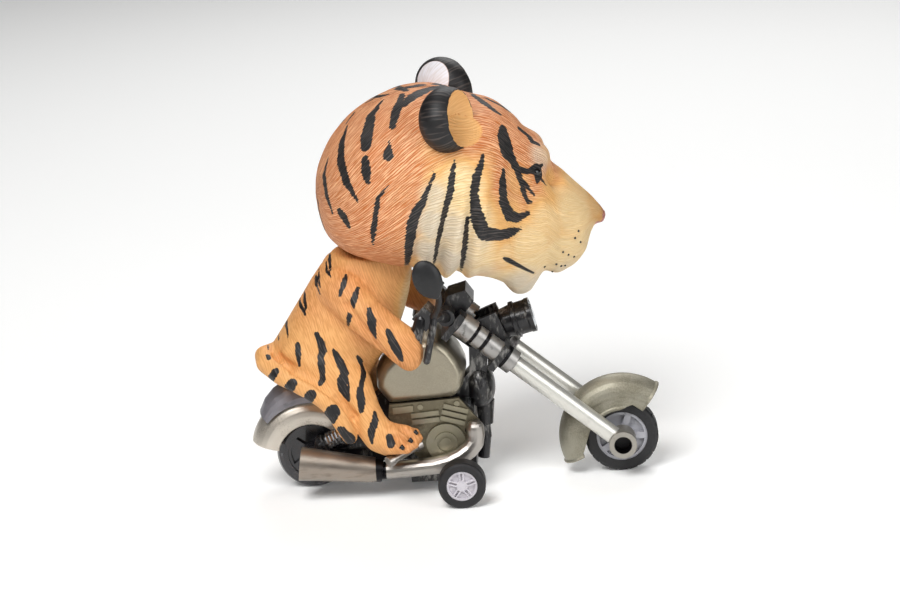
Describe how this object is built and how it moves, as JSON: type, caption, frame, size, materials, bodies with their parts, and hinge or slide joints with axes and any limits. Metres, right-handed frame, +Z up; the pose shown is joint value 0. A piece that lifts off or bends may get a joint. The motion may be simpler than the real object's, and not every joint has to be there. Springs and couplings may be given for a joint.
{
  "type": "pull-back toy motorcycle with a tiger rider",
  "caption": "Pull-back toy chopper ridden by a big-headed tiger: raked fork, coupled motor gears, side drive wheels, free road wheels and a head that turns on its neck peg.",
  "frame": {"origin": "on the ground, under the middle of the overall box", "axes": "+X forward along the bike, +Y to the rider's left, +Z up"},
  "size_m": [0.1018, 0.0572, 0.1025],
  "materials": {
    "pewter": "metallic paint",
    "chrome": "vacuum plated",
    "black_plastic": "gloss with silver wear",
    "grey_plastic": "matte",
    "lens": "silver paint",
    "steel": "bright",
    "tyre": "satin",
    "white_plastic": "satin",
    "barrel_plastic": "satin",
    "head_vinyl": "painted vinyl, matte",
    "body_vinyl": "painted vinyl, matte"
  },
  "bodies": {
    "bike": {"chassis": "black_plastic", "tank": "pewter", "rear_fender": "pewter", "seat": "black_plastic", "right_engine_cover": "pewter", "left_engine_cover": "pewter", "horn_cover": "black_plastic", "right_exhaust_pipe": "chrome", "left_exhaust_pipe": "chrome", "right_muffler": "pewter", "left_muffler": "pewter", "right_shock": "black_plastic", "left_shock": "black_plastic", "right_shock_spring": "steel", "left_shock_spring": "steel", "right_foot_peg": "chrome", "left_foot_peg": "chrome", "right_fork_tube": "chrome", "left_fork_tube": "chrome", "upper_clamp": "black_plastic", "lower_clamp": "black_plastic", "front_axle": "steel", "front_fender": "pewter", "headlamp": "black_plastic", "headlamp_lens": "lens", "headlamp_bracket": "black_plastic", "handlebar": "black_plastic", "right_lever": "black_plastic", "left_lever": "black_plastic", "right_mirror": "grey_plastic", "left_mirror": "grey_plastic", "rear_axle": "steel", "right_motor_case": "black_plastic", "left_motor_case": "black_plastic", "gear_studs": "steel", "case_screws": "steel", "torso": "body_vinyl", "right_arm": "body_vinyl", "left_arm": "body_vinyl", "right_leg": "body_vinyl", "left_leg": "body_vinyl", "tail": "body_vinyl", "neck_peg": "white_plastic"},
    "head": {"head": "head_vinyl", "neck_socket": "white_plastic"},
    "front_wheel": {"front_tyre": "tyre", "front_hub": "grey_plastic"},
    "rear_wheel": {"rear_tyre": "tyre", "rear_hub": "grey_plastic"},
    "drive_wheels": {"drive_axle": "steel", "drive_pinion": "white_plastic", "right_drive_tyre": "tyre", "right_drive_hub": "white_plastic", "left_drive_tyre": "tyre", "left_drive_hub": "white_plastic"},
    "idler": {"idler_gear": "white_plastic"},
    "barrel": {"spring_barrel": "barrel_plastic", "mainspring": "steel"}
  },
  "joints": [
    {"name": "drive_spin", "type": "hinge", "parent": "bike", "child": "drive_wheels", "pos_m": [0.0015, 0, 0.0058], "axis": [0, 1, 0], "continuous": true},
    {"name": "idler_spin", "type": "hinge", "parent": "bike", "child": "idler", "pos_m": [-0.00492, 0, 0.00907], "axis": [0, 1, 0], "continuous": true},
    {"name": "barrel_spin", "type": "hinge", "parent": "bike", "child": "barrel", "pos_m": [-0.00228, 0, 0.01528], "axis": [0, 1, 0], "continuous": true},
    {"name": "front_wheel_spin", "type": "hinge", "parent": "bike", "child": "front_wheel", "pos_m": [0.0412, 0, 0.0091], "axis": [0, 1, 0], "continuous": true},
    {"name": "rear_wheel_spin", "type": "hinge", "parent": "bike", "child": "rear_wheel", "pos_m": [-0.0356, 0, 0.0091], "axis": [0, 1, 0], "continuous": true},
    {"name": "head_turn", "type": "hinge", "parent": "bike", "child": "head", "pos_m": [-0.017, 0, 0.06], "axis": [0, 0, 1], "range_deg": [-14, 3]}
  ],
  "couplings": [
    {"joint": "idler_spin", "follows": "drive_spin", "ratio": -0.45455},
    {"joint": "barrel_spin", "follows": "drive_spin", "ratio": 0.22727}
  ]
}
